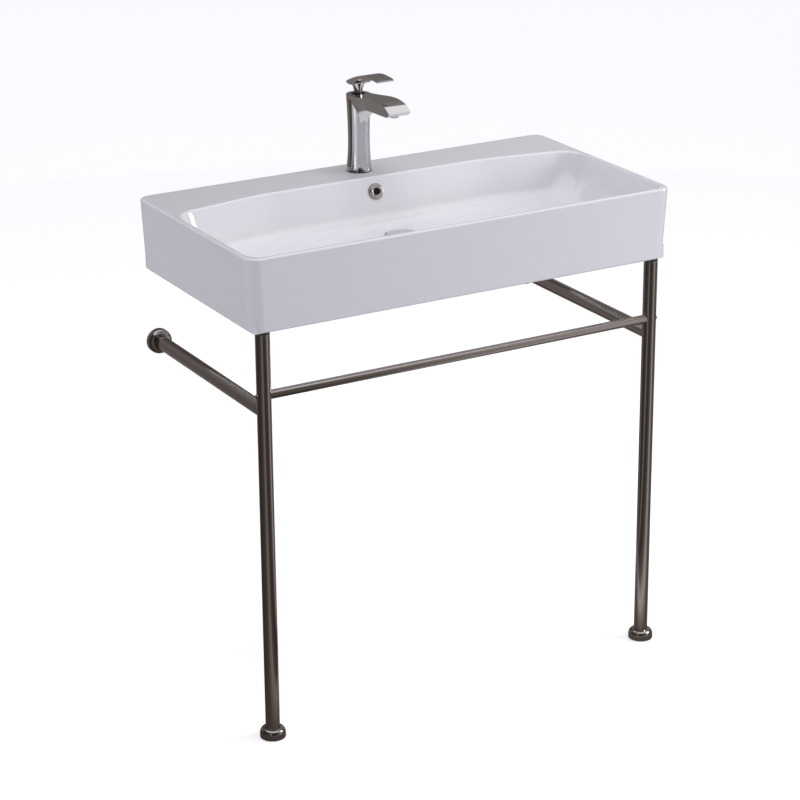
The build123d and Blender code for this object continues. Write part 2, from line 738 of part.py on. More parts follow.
def tap_parts():
    """Single-lever tap: body, base ring, aerator, cartridge, and the swivelling and lifting pieces."""
    place = Pos(0, tap_y, rim_height)
    body = tap_column() + tap_spout()
    chamber = cartridge_radius + seat_gap
    body -= post(chamber, cartridge_floor, tap_head_height + 20)
    aerator_y = -spout_reach + aerator_setback
    body -= post(aerator_radius + seat_gap, 120, spout_lip_height - 1.0, 0, aerator_y)
    channel_length = -aerator_y - chamber + 14
    channel = Rot(90, 0, 0) * Cylinder(inlet_radius, channel_length)
    body -= Pos(0, (aerator_y - chamber) / 2, spout_lip_height - 4.0) * channel
    body -= post(stud_radius + thread_gap, 0, tap_stud_grip + 4, 0, tap_stud_offset)
    for side in (-1, 1):
        body -= post(inlet_radius, 0, cartridge_floor + 1, side * inlet_spacing / 2, -3.0)
    ring = pipe(tap_base_radius - 0.4, tap_base_radius - 4, 0.02, base_ring_thickness - 0.02)
    aerator_low = spout_lip_height - 11.8
    aerator = post(aerator_radius, aerator_low, spout_lip_height - 1.5, 0, aerator_y)
    aerator -= post(aerator_radius - 1.6, aerator_low - 1, aerator_low + 2, 0, aerator_y)
    for step in range(-2, 3):
        aerator -= Pos(step * 2.4, aerator_y, aerator_low + 2.8) * Box(1.2, 9.5, 3)

    housing_top = pivot_height - 8
    housing = post(cartridge_radius, cartridge_floor + 0.1, housing_top)
    housing -= post(carrier_radius + running_gap, cartridge_floor + 6, housing_top + 1)
    for side in (-1, 1):
        port_x = side * inlet_spacing / 2
        housing -= post(inlet_radius - 1.2, cartridge_floor - 1, cartridge_floor + 8, port_x, -3.0)
    nut = pipe(cartridge_radius, carrier_radius + running_gap, housing_top + 0.1, housing_top + 6)
    fixed_disc = post(carrier_radius - 0.2, cartridge_floor + 6.1, cartridge_floor + 10)
    for side in (-1, 1):
        fixed_disc -= post(3.0, cartridge_floor, cartridge_floor + 20, side * 5.0, -3.0)
    moving_disc = post(carrier_radius - 0.4, cartridge_floor + 10.1, cartridge_floor + 14)
    moving_disc -= Pos(0, 1.5, cartridge_floor + 10) * Box(9, 6, 4)

    carrier_low = cartridge_floor + 14.2
    carrier_top = tap_head_height - 2.6
    carrier = post(carrier_radius, carrier_low, carrier_top)
    slot_front = 8.4
    slot_low = pivot_height - 8.5
    slot_middle = (cartridge_radius + 1.0 - slot_front) / 2
    slot_length = cartridge_radius + 1.0 + slot_front
    throat_low = pivot_height - 5.0
    carrier -= Pos(0, 0, slot_low + 10) * Box(7.4, 12.0, 20)
    carrier -= Pos(0, slot_middle, throat_low + 10) * Box(14.6, slot_length, 20)
    carrier -= sideways(Cylinder(pivot_pin_radius + thread_gap, 60), 0, 0, pivot_height, 1)
    cap_low = carrier_top + 0.1
    cap = post(cartridge_radius - 0.1, cap_low, tap_head_height + 0.6)
    cap -= Pos(0, slot_middle, cap_low) * Box(15.2, slot_length, 20)
    pin = sideways(Cylinder(pivot_pin_radius, 2 * carrier_radius - 1.6), 0, 0, pivot_height, 1)

    stem = sideways(Cylinder(4.2, 6.8), 0, 0, pivot_height, 1)
    stem += Pos(0, 0, pivot_height + 12) * Box(6.8, 6.8, 24)
    stem -= sideways(Cylinder(pivot_pin_radius + running_gap, 20), 0, 0, pivot_height, 1)
    lever, screw = tap_lever()
    return {
        "tap_body": place * body,
        "tap_base_ring": place * ring,
        "tap_aerator": place * aerator,
        "cartridge_housing": place * housing,
        "cartridge_nut": place * nut,
        "cartridge_fixed_disc": place * fixed_disc,
        "cartridge_moving_disc": place * moving_disc,
        "cartridge_carrier": place * carrier,
        "cartridge_cap": place * cap,
        "cartridge_pin": place * pin,
        "cartridge_stem": place * stem,
        "tap_lever": place * lever,
        "lever_screw": place * screw,
    }


def tap_lever():
    """Cast lever: a trumpet stem under a thin flat paddle that rises towards its tip."""
    stem_low = pivot_height + 5.4
    stem_high = lever_crown_height - 21.0
    flare = lever_width / 2 - 1.0 - lever_stem_radius
    stem_edge = [(0, stem_low)]
    for share in (0.0, 0.3, 0.55, 0.8, 1.0):
        height = stem_low + (stem_high - stem_low) * share
        stem_edge.append((lever_stem_radius + flare * share ** 2.2, height))
    stem_edge.append((0, stem_high + 6))
    trumpet = revolve(Plane.XZ * make_face(Polyline(*stem_edge, close=True)), Axis.Z)
    tail_top = (16, lever_crown_height - 25.5)
    above = Line(tail_top, (0, lever_crown_height - 17.5)) + Spline(
        (0, lever_crown_height - 17.5),
        (-32, lever_crown_height - 6.0),
        (-lever_length + 38, lever_crown_height),
        (-lever_length, lever_tip_height),
        tangents=[(-0.9, 0.42), (-1, -0.08)],
    )
    below = Polyline((-lever_length, lever_tip_height), (-lever_length + 0.8, lever_tip_height - 3.4))
    below += Spline(
        (-lever_length + 0.8, lever_tip_height - 3.4),
        (-lever_length + 38, lever_crown_height - 5.0),
        (-36, lever_crown_height - 11.5),
        (-14, lever_crown_height - 25.0),
        tangents=[(1, 0.02), (0.7, -0.7)],
    )
    stem_joint = (0, lever_crown_height - 31.0)
    below += Polyline((-14, lever_crown_height - 25.0), stem_joint, (14, lever_crown_height - 28.5), tail_top)
    paddle = extrude(Plane.YZ * make_face(above + below), lever_width / 2, both=True)
    reach = [(-lever_width / 2 + 2, 17), (lever_width / 2 - 2, 17), (lever_width / 2, -lever_length - 1)]
    plan = make_face(Polyline(*reach, (-lever_width / 2, -lever_length - 1), close=True))
    paddle = paddle & Pos(0, 0, 100) * extrude(plan, 150)
    trumpet = trumpet & Pos(0, 0, 100) * extrude(plan, 150)
    lever = paddle + (trumpet & paddle_cap(above))
    lever -= Pos(0, 0, pivot_height + 14.5) * Box(6.9, 6.9, 20)
    screw_z = pivot_height + 18
    hole = Pos(0, 12, screw_z) * Rot(90, 0, 0) * Cylinder(grub_radius + seat_gap, 24)
    lever -= hole
    screw = Pos(0, 5.7, screw_z) * Rot(90, 0, 0) * Cylinder(grub_radius, 4.4)
    return lever, screw


def paddle_cap(above):
    """Everything below the lever's upper surface."""
    edge = above + Polyline(
        (-lever_length, lever_tip_height),
        (-lever_length, 100),
        (30, 100),
        (30, lever_crown_height - 32.5),
        (16, lever_crown_height - 25.5),
    )
    return extrude(Plane.YZ * make_face(edge), 60, both=True)


def tap_fixing():
    """Under the deck: rubber and steel horseshoe washers, the long stud and its nut."""
    place = Pos(0, tap_y, 0)
    under = rim_height - deck_wall
    notch = Pos(0, -clamp_notch_offset, under) * Box(clamp_notch_width, clamp_notch_length, 200)
    plate_top = under - washer_thickness - seat_gap
    plate_low = plate_top - clamp_thickness
    rubber = post(clamp_radius + 1, under - washer_thickness, under - thread_gap) - notch
    plate = post(clamp_radius, plate_low, plate_top) - notch
    hole = post(stud_radius + slip_gap, under - 20, under + 10, 0, tap_stud_offset)
    rubber = rubber - hole
    plate = plate - hole
    stud = post(stud_radius, rim_height - tap_stud_length, rim_height + tap_stud_grip, 0, tap_stud_offset)
    nut = hexagon(clamp_nut_flats, under - 19, plate_low - seat_gap, 0, tap_stud_offset)
    nut -= post(stud_radius + thread_gap, under - 30, under, 0, tap_stud_offset)
    return {
        "tap_rubber_washer": place * rubber,
        "tap_clamp_plate": place * plate,
        "tap_stud": place * stud,
        "tap_stud_nut": place * nut,
    }


def build():
    """Makes every node and writes it."""
    nodes = {
        "basin": basin(),
        "overflow_ring": overflow_ring(),
        "wall_bolt_sleeves": wall_sleeves(),
        "crossbar": crossbar(),
        "crossbar_plugs": crossbar_plugs(),
        "crossbar_screws": crossbar_screws(),
        "rail_plugs": rail_plugs(),
        "rail_studs": rail_studs(),
        "socket_grub_screws": socket_grub_screws(),
    }
    nodes.update(waste_parts())
    nodes.update(leg_top_parts())
    nodes.update(tap_parts())
    nodes.update(tap_fixing())
    for side, word in ((-1, "left"), (1, "right")):
        floor_place = Pos(side * leg_x, leg_y, 0)
        nodes["leg_" + word] = leg(side)
        nodes["rail_" + word] = rail(side)
        nodes["foot_cover_" + word] = floor_place * flange_cover()
        nodes["foot_socket_" + word] = floor_place * socket(1)
        nodes["wall_cover_" + word] = lying(flange_cover(), side * leg_x, wall_y, rail_z)
        nodes["wall_socket_" + word] = lying(socket(-1), side * leg_x, wall_y, rail_z)
    for name, shape in nodes.items():
        save(shape, name)
    print(len(nodes), "nodes")


build()
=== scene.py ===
"""Looks for a console wash basin: a glazed ceramic basin on a polished two-legged frame, with its tap and waste.

Metres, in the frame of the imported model. +Z is up and +Y runs from the room towards the wall.
"""

import json
from math import asin, atan2, cos, pi, radians, sin, sqrt, tan

import bmesh
import bpy
from mathutils import Matrix, Vector


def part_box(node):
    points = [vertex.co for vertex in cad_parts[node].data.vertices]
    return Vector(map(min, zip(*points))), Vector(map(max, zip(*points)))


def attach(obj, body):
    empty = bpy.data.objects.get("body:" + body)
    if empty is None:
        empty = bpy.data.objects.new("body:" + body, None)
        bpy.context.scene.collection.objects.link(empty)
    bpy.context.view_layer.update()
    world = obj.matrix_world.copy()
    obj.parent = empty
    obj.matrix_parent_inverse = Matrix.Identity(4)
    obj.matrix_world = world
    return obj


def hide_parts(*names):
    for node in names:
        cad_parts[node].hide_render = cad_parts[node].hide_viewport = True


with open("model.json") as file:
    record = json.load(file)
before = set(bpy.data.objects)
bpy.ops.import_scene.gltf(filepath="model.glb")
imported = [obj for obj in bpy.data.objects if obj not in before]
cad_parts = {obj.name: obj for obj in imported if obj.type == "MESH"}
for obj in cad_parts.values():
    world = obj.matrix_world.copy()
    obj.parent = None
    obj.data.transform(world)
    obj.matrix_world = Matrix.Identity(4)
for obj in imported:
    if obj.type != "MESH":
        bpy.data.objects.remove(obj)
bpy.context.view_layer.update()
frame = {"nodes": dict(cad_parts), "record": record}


# Basin. A slip-cast and glazed ceramic box, open below, with a drafted bowl, a flat deck behind it,
# a boss for the waste, an overflow duct down the bowl's back, and pads over the two front legs.
basin_low, basin_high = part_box("basin")
rim_z = basin_high.z
base_z = basin_low.z
wall_y = basin_high.y
basin_depth = 0.445
front_y = wall_y - basin_depth
half_width = 0.425
side_draft = 0.007
front_draft = 0.0035
corner_radius = 0.024
edge_radius = 0.005
rim_wall = 0.012
skirt_wall = 0.013
shell_wall = 0.011
deck_wall = 0.014
deck_depth_middle = 0.104
deck_depth_end = 0.136
deck_sweep_start = 0.235
bowl_depth = 0.074
floor_fall = 0.008
bowl_front_corner = 0.028
bowl_back_corner = 0.046
deck_sweep_radius = 0.420
sweep_follow = 0.35
dish_half_width = 0.064
dish_half_depth = 0.044
dish_end_share = 0.1
dish_sweep_share = 0.6
waste_boss_length = 0.034
waste_boss_radius = 0.040
waste_hole_radius = 0.023
waste_recess_gap = 0.0015
waste_recess_depth = 0.003
overflow_drop = 0.026
overflow_hole_radius = 0.011
overflow_tilt = radians(70)
duct_half_width = 0.023
duct_passage_half = 0.014
tap_hole_radius = 0.0175
wall_bolt_x = 0.14
wall_bolt_drop = 0.062
wall_bolt_bore = 0.0081
bush_bore = 0.0071
bush_depth = 0.018
pad_inner_x, pad_outer_x = 0.357, 0.414
pad_height = 0.026
pad_reach = 0.0557
side_wall_shape = (radians(12), 0.062)
back_wall_shape = (radians(20), 0.022)
front_wall_shape = (radians(8), 0.022)
plug_low, plug_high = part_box("waste_plug")
waste_y = (plug_low.y + plug_high.y) / 2
waste_z = rim_z - bowl_depth - floor_fall
boss_z = waste_z - waste_boss_length
corner_steps = 12
side_steps = 10


def corner_arc(before, corner, after, radius, share):
    """Point on the arc that rounds a corner, or near the corner where the outline runs straight."""
    to_before = (before - corner).normalized()
    to_after = (after - corner).normalized()
    half_angle = to_before.angle(to_after) / 2
    if half_angle > radians(89.5):
        return corner + to_after * radius * 0.2 * (share - 0.5)
    reach = radius / tan(half_angle)
    middle = (to_before + to_after).normalized()
    centre = corner + middle * (radius / sin(half_angle))
    start = corner + to_before * reach - centre
    end = corner + to_after * reach - centre
    turn = start.angle(end)
    return centre + (start * sin(turn * (1 - share)) + end * sin(turn * share)) / sin(turn)


def outline_point(corners, radii, index):
    """Point of a rounded outline: each corner has an arc of steps, and then each side its own steps."""
    per_corner = corner_steps + side_steps
    count = len(corners)
    k, step = divmod(index, per_corner)
    share = min(1.0, step / corner_steps)
    here = corner_arc(corners[k - 1], corners[k], corners[(k + 1) % count], radii[k], share)
    if step <= corner_steps:
        return here
    nxt = (k + 1) % count
    there = corner_arc(corners[k], corners[nxt], corners[(nxt + 1) % count], radii[nxt], 0.0)
    return here.lerp(there, (step - corner_steps) / side_steps)


def box_corners(inset_x, inset_front, inset_back, sweep_x):
    """Corners of the basin's outline in plan, with two more on the back edge to match the bowl's."""
    x = half_width - inset_x
    low = front_y + inset_front
    high = wall_y - inset_back
    return [Vector(p) for p in ((-x, low), (x, low), (x, high), (sweep_x, high), (-sweep_x, high), (-x, high))]


def wall_run(depth, shape):
    """How far a bowl wall has moved inwards at a depth: a rounded lip, a drafted wall and a cove."""
    slope, cove = shape
    if depth < edge_radius * (1 - sin(slope)):
        start = -edge_radius * (1 - sin(slope)) / cos(slope)
        return start + sqrt(max(0.0, edge_radius ** 2 - (edge_radius - depth) ** 2))
    straight = bowl_depth - cove * (1 - sin(slope))
    if depth <= straight:
        return depth * tan(slope)
    turned = asin(min(1.0, sin(slope) + (depth - straight) / cove))
    return straight * tan(slope) + cove * (cos(slope) - cos(turned))


def bowl_corners(depth, grow=0.0):
    """Corners of the bowl's plan at a depth, grown outwards for the outside of its shell."""
    side = wall_run(depth, side_wall_shape) - grow
    back = wall_run(depth, back_wall_shape) - grow
    front = wall_run(depth, front_wall_shape) - grow
    x = half_width - rim_wall - side
    low = front_y + rim_wall + front
    high = wall_y - deck_depth_middle - back
    end = high - (deck_depth_end - deck_depth_middle)
    sweep = deck_sweep_start - sweep_follow * side
    return [Vector(p) for p in ((-x, low), (x, low), (x, end), (sweep, high), (-sweep, high), (-x, end))]


bowl_radii = [bowl_front_corner] * 2 + [bowl_back_corner] + [deck_sweep_radius] * 2 + [bowl_back_corner]


def box_ring(z, inset, thickness=0.0):
    """Ring round the basin's outside at a height, or inside its skirt."""
    share = (rim_z - z) / (rim_z - base_z)
    side = side_draft * share + inset + thickness
    front = front_draft * share + inset + thickness
    corners = box_corners(side, front, inset + thickness, deck_sweep_start)
    radius = max(0.004, corner_radius - inset - thickness / 2)
    radii = [radius, radius, radius, deck_sweep_radius, deck_sweep_radius, radius]
    return [outline_point(corners, radii, i).to_3d() + Vector((0, 0, z)) for i in range(ring_size)]


def bowl_point(index, depth, grow=0.0, drop=0.0):
    """Point on the bowl's wall, or on the outside of its shell."""
    lip = max(0.0, -wall_run(depth, back_wall_shape)) if grow == 0 else 0.0
    radii = [radius + lip for radius in bowl_radii]
    point = outline_point(bowl_corners(depth, grow), radii, index)
    return Vector((point.x, point.y, rim_z - depth - drop))


def dish_ring(z, grow=0.0):
    """Ring where the sloping floor meets the flat dish round the waste."""
    x = dish_half_width + grow
    low = waste_y - dish_half_depth - grow
    high = waste_y + dish_half_depth + grow
    end = high - dish_half_depth * dish_end_share
    sweep = x * dish_sweep_share
    corners = [Vector(p) for p in ((-x, low), (x, low), (x, end), (sweep, high), (-sweep, high), (-x, end))]
    scale = dish_half_width / half_width
    radii = [r * scale for r in bowl_radii]
    return [outline_point(corners, radii, i).to_3d() + Vector((0, 0, z)) for i in range(ring_size)]


def round_ring(radius, z, like):
    """Circle round the waste, its points in the same directions as a ring's."""
    points = []
    for p in like:
        angle = atan2(p.y - waste_y, p.x)
        points.append(Vector((radius * cos(angle), waste_y + radius * sin(angle), z)))
    return points


def skirt_rings(count):
    """Inside of the skirt, from its foot to the deck's underside or the bowl's shell, whichever is lower."""
    foot = box_ring(base_z, 0.0, skirt_wall)
    tops = []
    starts = []
    ceiling = rim_z - deck_wall
    for i, p in enumerate(foot):
        depth = ceiling_depth = rim_z - shell_wall - ceiling
        while depth < bowl_depth and outside_of(bowl_point(i, depth, shell_wall, shell_wall), p):
            depth += 0.001
        tops.append(ceiling if depth == ceiling_depth else rim_z - shell_wall - depth)
        starts.append(depth)
    rings = []
    for step in range(count + 1):
        heights = [base_z + (top - base_z) * step / count for top in tops]
        rings.append([Vector((p.x, p.y, z)) for p, z in zip(foot, heights)])
    return rings, starts


def outside_of(point, wall):
    """Whether a point of the shell lies in or beyond the skirt wall at the same place on the ring."""
    past_side = abs(point.x) > abs(wall.x) + 1e-6
    past_front = wall.y < 0 and point.y < wall.y - 1e-6
    return past_side or past_front


def rings_to_mesh(rings, name, closed=False):
    """Mesh of four-sided faces between rings of equal size, closed into a loop of rings if asked."""
    mesh = bmesh.new()
    rows = [[mesh.verts.new(p) for p in ring] for ring in rings]
    pairs = list(zip(rows, rows[1:]))
    if closed:
        pairs.append((rows[-1], rows[0]))
    for low, high in pairs:
        for i in range(len(low)):
            j = (i + 1) % len(low)
            mesh.faces.new((low[i], low[j], high[j], high[i]))
    return finish_mesh(mesh, name)


def finish_mesh(mesh, name):
    """Merges doubles, turns the faces outwards and makes the object."""
    bmesh.ops.remove_doubles(mesh, verts=mesh.verts, dist=1e-6)
    bmesh.ops.recalc_face_normals(mesh, faces=mesh.faces)
    data = bpy.data.meshes.new(name)
    mesh.to_mesh(data)
    mesh.free()
    obj = bpy.data.objects.new(name, data)
    bpy.context.scene.collection.objects.link(obj)
    return obj


def block(low, high, name="block"):
    """Box between two corners, used to build or cut a piece."""
    mesh = bmesh.new()
    bmesh.ops.create_cube(mesh, size=1.0)
    low, high = Vector(low), Vector(high)
    for v in mesh.verts:
        v.co = Vector(((low[i] + high[i]) / 2 + v.co[i] * (high[i] - low[i]) for i in range(3)))
    return finish_mesh(mesh, name)


def bar_across(points, half, name, rounding=0.0, segments=4, place=Matrix.Identity(4)):
    """Outline in the YZ plane made into a bar across X, its two outlines rounded over if asked."""
    mesh = bmesh.new()
    left = [mesh.verts.new(Vector((-half, y, z))) for y, z in points]
    right = [mesh.verts.new(Vector((half, y, z))) for y, z in points]
    mesh.faces.new(left)
    mesh.faces.new(list(reversed(right)))
    rims = []
    for i in range(len(points)):
        j = (i + 1) % len(points)
        mesh.faces.new((left[j], left[i], right[i], right[j]))
        rims.append({left[i], left[j]})
        rims.append({right[i], right[j]})
    if rounding:
        edges = [edge for edge in mesh.edges if set(edge.verts) in rims]
        bmesh.ops.bevel(
            mesh, geom=edges, offset=rounding, segments=segments, profile=0.5, affect="EDGES", clamp_overlap=True
        )
    mesh.transform(place)
    return finish_mesh(mesh, name)


def lathe(profile, name, sides=96, place=Matrix.Identity(4)):
    """Turned piece: a closed outline of (radius, height) points spun round the Z axis and then put in place."""
    mesh = bmesh.new()
    columns = []
    for step in range(sides):
        angle = 2 * pi * step / sides
        column = [place @ Vector((r * cos(angle), r * sin(angle), h)) for r, h in profile]
        columns.append([mesh.verts.new(point) for point in column])
    for step in range(sides):
        a, b = columns[step], columns[(step + 1) % sides]
        for i in range(len(profile)):
            j = (i + 1) % len(profile)
            on_axis_i, on_axis_j = profile[i][0] < 1e-7, profile[j][0] < 1e-7
            if on_axis_i and on_axis_j:
                continue
            if on_axis_i:
                mesh.faces.new((a[i], a[j], b[j]))
            elif on_axis_j:
                mesh.faces.new((a[i], a[j], b[i]))
            else:
                mesh.faces.new((a[i], a[j], b[j], b[i]))
    return finish_mesh(mesh, name)


def rod(radius, low, high, name, sides=32, place=Matrix.Identity(4)):
    """Plain round bar between two heights, used to build or cut a piece."""
    return lathe([(0, low), (radius, low), (radius, high), (0, high)], name, sides, place)


def combine(obj, others, operation):
    """Joins or cuts a piece with others, which are used up."""
    for other in others:
        step = obj.modifiers.new(operation, "BOOLEAN")
        step.operation = operation
        step.solver = "EXACT"
        step.object = other
    settle(obj)
    for other in others:
        bpy.data.objects.remove(other)


def settle(obj):
    """Turns a piece and its modifiers into a plain mesh."""
    graph = bpy.context.evaluated_depsgraph_get()
    data = bpy.data.meshes.new_from_object(obj.evaluated_get(graph))
    old = obj.data
    obj.modifiers.clear()
    obj.data = data
    bpy.data.meshes.remove(old)


def smooth(obj, angle=32):
    """Smooth shading with crisp edges above an angle, and flat faces kept flat."""
    obj.data.shade_smooth()
    obj.data.set_sharp_from_angle(angle=radians(angle))
    step = obj.modifiers.new("Weighted", "WEIGHTED_NORMAL")
    step.keep_sharp = True
    step.weight = 100
    settle(obj)


ring_size = 6 * (corner_steps + side_steps)
rings = []
turn_steps = 6
for step in range(turn_steps + 1):
    angle = radians(90 * step / turn_steps)
    rings.append(box_ring(base_z + edge_radius * (1 - sin(angle)), edge_radius * (1 - cos(angle))))
rings.reverse()
for step in range(1, turn_steps + 1):
    angle = radians(90 * step / turn_steps)
    rings.append(box_ring(rim_z - edge_radius * (1 - sin(angle)), edge_radius * (1 - cos(angle))))
lip_depths = [edge_radius * (1 - cos(radians(82 * step / 8))) for step in range(9)]
for depth in lip_depths:
    rings.append([bowl_point(i, depth) for i in range(ring_size)])
straight = bowl_depth - side_wall_shape[1] * (1 - sin(side_wall_shape[0]))
for step in range(1, 4):
    depth = lip_depths[-1] + (straight - lip_depths[-1]) * step / 3
    rings.append([bowl_point(i, depth) for i in range(ring_size)])
cove_steps = 26
for step in range(1, cove_steps + 1):
    depth = straight + (bowl_depth - straight) * sin(radians(90 * step / cove_steps))
    rings.append([bowl_point(i, depth) for i in range(ring_size)])
floor_edge = rings[-1]
dish = dish_ring(waste_z)
for step in range(1, 6):
    rings.append([p.lerp(q, step / 5) for p, q in zip(floor_edge, dish)])
waste_body_low, waste_body_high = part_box("waste_body")
recess_radius = (waste_body_high.x - waste_body_low.x) / 2 + waste_recess_gap
recess_z = waste_z - waste_recess_depth
for radius, z in (
    (recess_radius, waste_z), (recess_radius, recess_z), (waste_hole_radius, recess_z),
    (waste_hole_radius, boss_z), (waste_boss_radius, boss_z), (waste_boss_radius, waste_z - shell_wall),
):
    rings.append(round_ring(radius, z, dish))
rings.append(dish_ring(waste_z - shell_wall, 0.004))
inner_rings, shell_starts = skirt_rings(5)
for step in range(10):
    share = sin(radians(90 * (1 - step / 9)))
    ring = []
    for i, start in enumerate(shell_starts):
        ring.append(bowl_point(i, start + (bowl_depth - start) * share, shell_wall, shell_wall))
    rings.append(ring)
rings.extend(reversed(inner_rings))
basin = rings_to_mesh(rings, "basin_glazed", closed=True)

duct_front = wall_y - deck_depth_middle - 0.012
duct_back = wall_y - deck_depth_middle + 0.024
pads = [
    block((side * pad_inner_x, y0, base_z), (side * pad_outer_x, y1, base_z + pad_height))
    for side in (-1, 1)
    for y0, y1 in ((front_y + 0.008, front_y + pad_reach), (wall_y - pad_reach, wall_y - 0.006))
]
duct_side = [
    (waste_y, boss_z), (duct_back, boss_z), (duct_back, rim_z - 0.012), (duct_front + 0.0125, rim_z - 0.012),
    (duct_front - 0.006, rim_z - 0.064), (duct_front - 0.0265, rim_z - 0.084),
    (waste_y + dish_half_depth, waste_z - 0.008), (waste_y, waste_z - 0.008),
]
duct = bar_across(duct_side, duct_half_width, "duct")
combine(basin, pads + [duct], "UNION")
overflow_z = rim_z - overflow_drop
overflow_y = wall_y - deck_depth_middle - wall_run(overflow_drop, back_wall_shape)
overflow_place = Matrix.Translation((0, overflow_y, overflow_z)) @ Matrix.Rotation(overflow_tilt, 4, "X")
tap_low, tap_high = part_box("tap_base_ring")
tap_y = (tap_low.y + tap_high.y) / 2
leg_low, leg_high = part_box("leg_right")
leg_x = (leg_low.x + leg_high.x) / 2
leg_y = (leg_low.y + leg_high.y) / 2
tap_place = Matrix.Translation((0, tap_y, rim_z))
duct_wall = 0.007
passage_back = duct_back - duct_wall
passage_low = boss_z + duct_wall
cuts = [
    block(
        (-duct_passage_half, duct_back - 0.017, passage_low),
        (duct_passage_half, passage_back, rim_z - deck_wall - 0.004),
    ),
    block((-duct_passage_half, waste_y, passage_low), (duct_passage_half, passage_back, boss_z + 0.017)),
    rod(overflow_hole_radius, -0.03, 0.012, "cut", 48, overflow_place),
    rod(tap_hole_radius, -0.03, 0.01, "cut", 48, tap_place),
]
for side in (-1, 1):
    bolt = Matrix.Translation((side * wall_bolt_x, wall_y, rim_z - wall_bolt_drop))
    cuts.append(rod(wall_bolt_bore, -0.02, 0.03, "cut", 32, bolt @ Matrix.Rotation(radians(90), 4, "X")))
    bush = Matrix.Translation((side * leg_x, leg_y, base_z))
    cuts.append(rod(bush_bore, -0.01, bush_depth, "cut", 32, bush))
combine(basin, cuts, "DIFFERENCE")
smooth(basin, 30)


def material(
    name, colour, rough, metal=0.0, coat=0.0, tint=None, patches=14.0, grain=0.0, grain_scale=400.0, spread=0.03
):
    """Finish with a little variation in colour and roughness and a fine grain, on Object coordinates."""
    mat = bpy.data.materials.new(name)
    mat.use_nodes = True
    nodes, links = mat.node_tree.nodes, mat.node_tree.links
    shader = nodes["Principled BSDF"]
    shader.inputs["Metallic"].default_value = metal
    shader.inputs["Coat Weight"].default_value = coat
    shader.inputs["Coat Roughness"].default_value = 0.03
    place = nodes.new("ShaderNodeTexCoord")
    cloud = nodes.new("ShaderNodeTexNoise")
    cloud.inputs["Scale"].default_value = patches
    cloud.inputs["Detail"].default_value = 4.0
    links.new(place.outputs["Object"], cloud.inputs["Vector"])
    mix = nodes.new("ShaderNodeMix")
    mix.data_type = "RGBA"
    mix.inputs["A"].default_value = (*colour, 1)
    mix.inputs["B"].default_value = (*(tint or [c * 0.94 for c in colour]), 1)
    links.new(cloud.outputs["Fac"], mix.inputs["Factor"])
    links.new(mix.outputs["Result"], shader.inputs["Base Color"])
    wear = nodes.new("ShaderNodeMapRange")
    wear.inputs["To Min"].default_value = max(0.0, rough - spread)
    wear.inputs["To Max"].default_value = rough + spread
    links.new(cloud.outputs["Fac"], wear.inputs["Value"])
    links.new(wear.outputs["Result"], shader.inputs["Roughness"])
    if grain:
        fine = nodes.new("ShaderNodeTexNoise")
        fine.inputs["Scale"].default_value = grain_scale
        fine.inputs["Detail"].default_value = 2.0
        links.new(place.outputs["Object"], fine.inputs["Vector"])
        bump = nodes.new("ShaderNodeBump")
        bump.inputs["Strength"].default_value = grain
        bump.inputs["Distance"].default_value = 0.0004
        links.new(fine.outputs["Fac"], bump.inputs["Height"])
        links.new(bump.outputs["Normal"], shader.inputs["Normal"])
    return mat


def dress(obj, mat, body, slot, *nodes):
    """Gives a finished piece its material and its body, and hides the CAD nodes that it stands for."""
    obj.data.materials.clear()
    obj.data.materials.append(mat)
    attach(obj, body)
    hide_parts(*nodes)


glaze = material(
    "white_glaze", (0.80, 0.80, 0.82), 0.10, coat=0.6, tint=(0.78, 0.78, 0.80),
    patches=5.0, grain=0.04, grain_scale=90.0, spread=0.02,
)
dress(basin, glaze, "body", "white_glaze", "basin")


# Overflow ring. A turned and chromed brass ring with a stepped face, pressed into the ceramic at the top of
# the bowl's back wall, so its face leans with the wall.
chrome = material("chrome", (0.72, 0.71, 0.71), 0.05, metal=1.0, patches=30.0, spread=0.02)
eye_radius = 0.0064
ring_radius = 0.0155
step_radius = ring_radius - 0.0034
overflow_profile = [
    (eye_radius, -0.014), (0.0109, -0.014), (0.0109, 0.0001), (ring_radius, 0.0001), (ring_radius, 0.0012),
    (ring_radius - 0.0002, 0.0016), (ring_radius - 0.0006, 0.0018), (step_radius, 0.0018), (step_radius, 0.0028),
    (step_radius - 0.0003, 0.0033), (step_radius - 0.0008, 0.0036), (eye_radius + 0.0016, 0.0036),
    (eye_radius + 0.0006, 0.0030), (eye_radius, 0.0016),
]
overflow = lathe(overflow_profile, "overflow_ring_chromed", 96, overflow_place)
smooth(overflow)
dress(overflow, chrome, "body", "chrome", "overflow_ring")


# Click waste. A chromed brass flange that sits in the bowl's recess, and a shallow domed plug that rises out of
# it on a spindle. The threaded tail below keeps its CAD form.
flange_top = waste_body_high.z
plug_radius = (plug_high.x - plug_low.x) / 2
plug_skirt_radius = plug_radius - 0.013
spindle_radius = 0.004
dome_rise = 0.0018
dome = [
    (0, flange_top - 0.0014), (plug_skirt_radius, flange_top - 0.0014), (plug_skirt_radius, flange_top + 0.0003),
    (plug_radius, flange_top + 0.0003), (plug_radius, flange_top + 0.0015),
    (plug_radius - 0.0004, flange_top + 0.0022),
]
for step in range(13):
    share = 1 - step / 12
    dome.append(((plug_radius - 0.0012) * share, flange_top + 0.0026 + dome_rise * (1 - share ** 2)))
waste_place = Matrix.Translation((0, waste_y, 0))
plug = lathe(dome, "waste_plug_chromed", 96, waste_place)
spindle = rod(spindle_radius, plug_low.z, flange_top - 0.001, "spindle", 32, waste_place)
combine(plug, [spindle], "UNION")
smooth(plug)
dress(plug, chrome, "plug", "chrome", "waste_plug")


